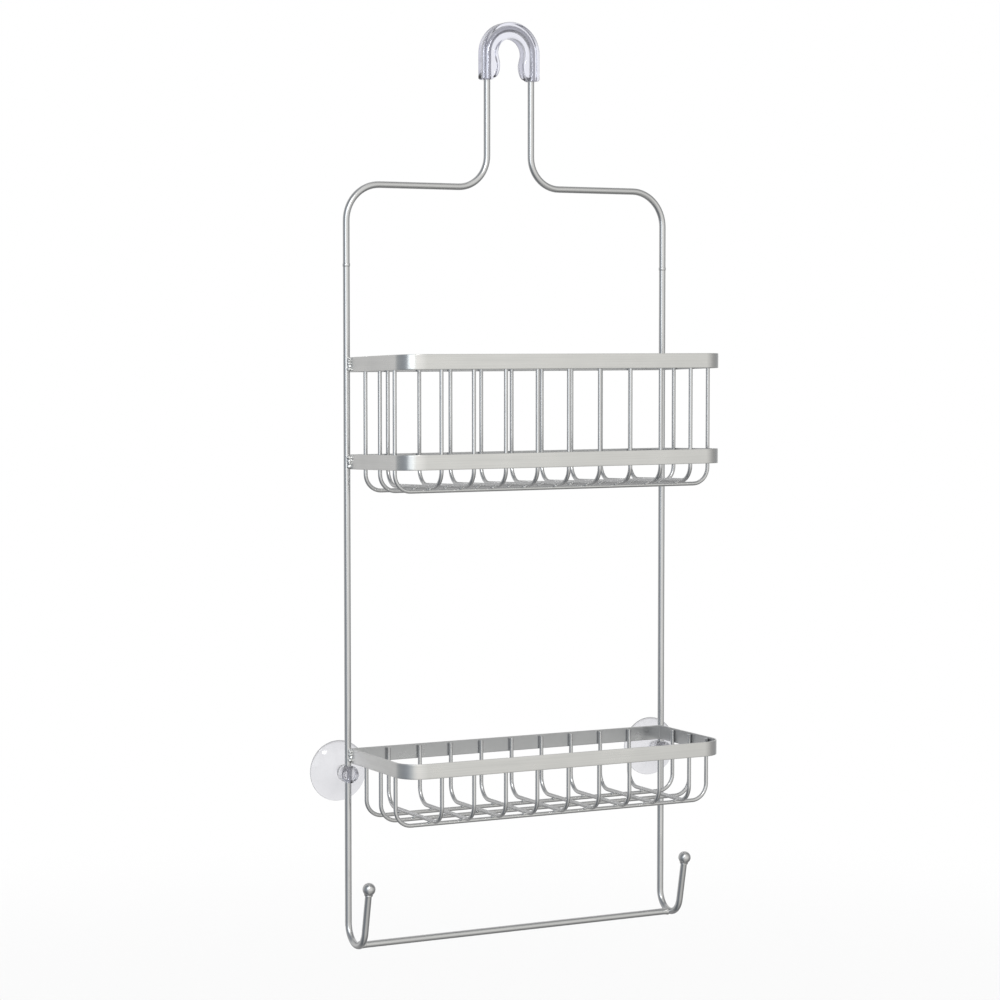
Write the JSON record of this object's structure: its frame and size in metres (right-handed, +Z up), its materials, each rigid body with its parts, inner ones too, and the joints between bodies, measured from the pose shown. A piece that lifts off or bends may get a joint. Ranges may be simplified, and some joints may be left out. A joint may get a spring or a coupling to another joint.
{
  "type": "shower caddy",
  "caption": "Over-the-arm wire shower caddy: clear grip on a bent wire frame, two banded wire baskets, a towel bar, ball-ended hooks and sliding suction cups.",
  "frame": {"origin": "centre of the shower arm's opening in the grip, in the plane of the frame wire", "axes": "+Z up along the frame, +Y towards the wall, +X to the right seen from the shower"},
  "size_m": [0.3044, 0.1116, 0.6657],
  "materials": {
    "frame_wire": "satin",
    "basket_wire": "satin",
    "satin_band": "brushed satin",
    "weld_metal": "bright, uneven",
    "clear_vinyl": "clear soft vinyl",
    "clear_cup": "clear, slightly hazy vinyl"
  },
  "bodies": {
    "frame": {"hanger_wire": "frame_wire", "hook_grip": "clear_vinyl", "left_hook_ball": "frame_wire", "left_leg_wire": "frame_wire", "leg_butt_welds": "weld_metal", "lower_basket_band": "satin_band", "lower_basket_cross_wire_1": "basket_wire", "lower_basket_cross_wire_2": "basket_wire", "lower_basket_cross_wire_3": "basket_wire", "lower_basket_cross_wire_4": "basket_wire", "lower_basket_cross_wire_5": "basket_wire", "lower_basket_cross_wire_6": "basket_wire", "lower_basket_cross_wire_7": "basket_wire", "lower_basket_cross_wire_8": "basket_wire", "lower_basket_cross_wire_9": "basket_wire", "lower_basket_grid_welds": "weld_metal", "lower_basket_leg_welds": "weld_metal", "lower_basket_long_wire_1": "basket_wire", "lower_basket_long_wire_2": "basket_wire", "lower_basket_long_wire_3": "basket_wire", "right_hook_ball": "frame_wire", "right_leg_wire": "frame_wire", "towel_bar": "frame_wire", "towel_bar_welds": "weld_metal", "upper_basket_cross_wire_1": "basket_wire", "upper_basket_cross_wire_2": "basket_wire", "upper_basket_cross_wire_3": "basket_wire", "upper_basket_cross_wire_4": "basket_wire", "upper_basket_cross_wire_5": "basket_wire", "upper_basket_cross_wire_6": "basket_wire", "upper_basket_cross_wire_7": "basket_wire", "upper_basket_cross_wire_8": "basket_wire", "upper_basket_cross_wire_9": "basket_wire", "upper_basket_grid_welds": "weld_metal", "upper_basket_leg_welds": "weld_metal", "upper_basket_long_wire_1": "basket_wire", "upper_basket_long_wire_2": "basket_wire", "upper_basket_long_wire_3": "basket_wire", "upper_basket_lower_band": "satin_band", "upper_basket_top_band": "satin_band"},
    "left_cup": {"left_suction_cup": "clear_cup"},
    "right_cup": {"right_suction_cup": "clear_cup"}
  },
  "joints": [
    {"name": "left_cup_slide", "type": "slide", "parent": "frame", "child": "left_cup", "axis": [0, 0, -1], "range_m": [0, 0.098]},
    {"name": "right_cup_slide", "type": "slide", "parent": "frame", "child": "right_cup", "axis": [0, 0, -1], "range_m": [0, 0.098]}
  ]
}
